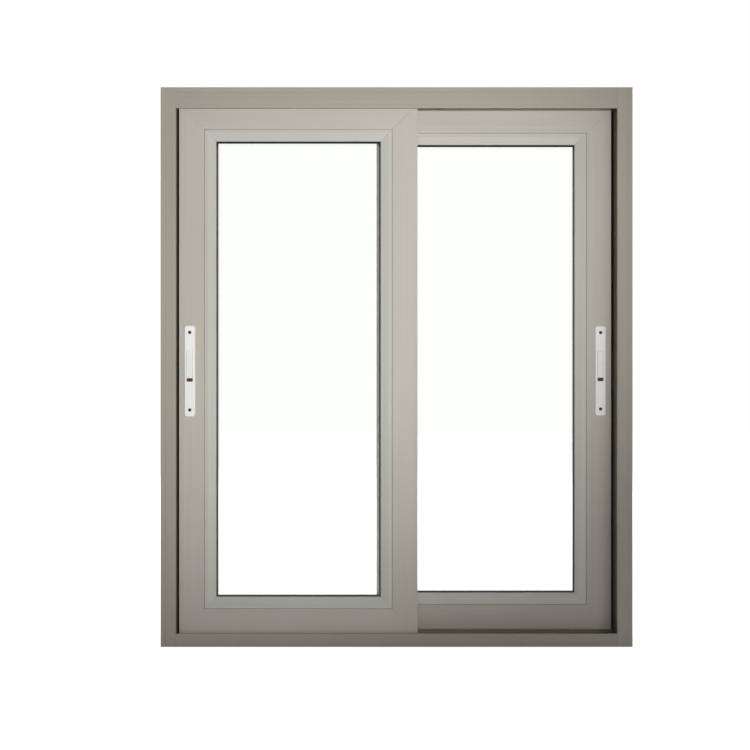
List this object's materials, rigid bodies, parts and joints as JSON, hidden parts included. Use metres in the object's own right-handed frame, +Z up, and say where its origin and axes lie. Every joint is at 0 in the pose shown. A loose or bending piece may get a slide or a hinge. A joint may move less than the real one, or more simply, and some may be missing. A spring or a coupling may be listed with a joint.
{
  "type": "horizontal sliding window",
  "caption": "Horizontal sliding aluminium window: two glazed mitred sashes, one behind the other, on railed tracks in an outer frame, with white flush slide locks on the outer stiles.",
  "frame": {"origin": "middle of the sill's flat underside: half way along the width and half way through the frame's depth", "axes": "+Z up, +X to the right seen from indoors, +Y outdoors; the locks face -Y"},
  "size_m": [0.97, 0.088, 1.15],
  "materials": {
    "frame_finish": "satin champagne powder coat on extruded aluminium",
    "mill_aluminium": "mill finish",
    "spacer": "bare roll-formed bar",
    "glass": "clear float, polished",
    "gasket": "matte black extruded rubber",
    "block_rubber": "matte",
    "lock_white": "white powder coat",
    "slider_white": "moulded, semi-gloss",
    "indicator_red": "moulded",
    "screw_steel": "zinc plated",
    "roller_nylon": "moulded nylon",
    "pile": "woven pile brush"
  },
  "bodies": {
    "root": {"frame_head": "frame_finish", "frame_sill": "frame_finish", "frame_jamb_left": "frame_finish", "frame_jamb_right": "frame_finish", "frame_corner_screws": "screw_steel", "lock_keepers": "screw_steel", "front_top_rail": "frame_finish", "front_bottom_rail": "frame_finish", "front_lock_stile": "frame_finish", "front_meeting_stile": "frame_finish", "front_bead_top": "frame_finish", "front_bead_bottom": "frame_finish", "front_bead_lock_side": "frame_finish", "front_bead_meeting_side": "frame_finish", "front_inner_gasket": "gasket", "front_outer_gasket": "gasket", "front_glass_spacer": "spacer", "front_glass": "glass", "front_lock_plate": "lock_white", "front_lock_slider": "slider_white", "rear_top_rail": "frame_finish", "rear_bottom_rail": "frame_finish", "rear_lock_stile": "frame_finish", "rear_meeting_stile": "frame_finish", "rear_bead_top": "frame_finish", "rear_bead_bottom": "frame_finish", "rear_bead_lock_side": "frame_finish", "rear_bead_meeting_side": "frame_finish", "rear_inner_gasket": "gasket", "rear_outer_gasket": "gasket", "rear_glass_spacer": "spacer", "rear_glass": "glass", "rear_lock_plate": "lock_white", "rear_lock_slider": "slider_white", "corner_cleats": "mill_aluminium", "setting_blocks": "block_rubber", "roller_wheels": "roller_nylon", "roller_housings": "screw_steel", "lock_screws": "screw_steel", "lock_indicators": "indicator_red", "anti_lift_blocks": "roller_nylon", "pile_seals": "pile"}
  },
  "joints": []
}
